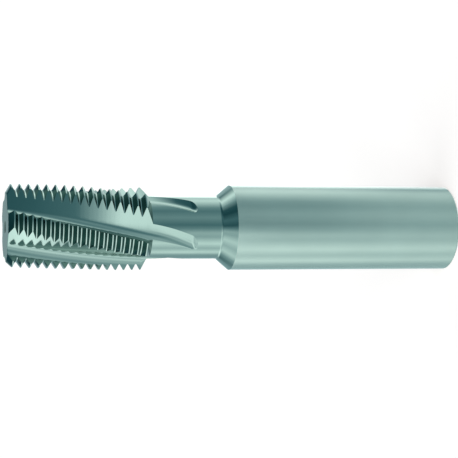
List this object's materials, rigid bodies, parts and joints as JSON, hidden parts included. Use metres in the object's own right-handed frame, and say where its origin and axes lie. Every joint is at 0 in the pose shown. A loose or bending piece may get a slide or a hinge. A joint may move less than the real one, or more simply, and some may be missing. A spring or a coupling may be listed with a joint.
{
  "type": "thread mill",
  "caption": "Solid carbide thread mill with a plain round shank, a slimmer neck and a fluted head with rings of thread teeth for milling internal and external threads.",
  "frame": {"origin": "centre of the shank's end face, on the surface that the tool stands on", "axes": "+Z along the tool axis, from the shank's end face to the cutting tip"},
  "size_m": [0.02, 0.02, 0.107],
  "materials": {
    "carbide": "ground bright, uncoated cemented carbide"
  },
  "bodies": {
    "root": {"thread_mill": "carbide"}
  },
  "joints": []
}
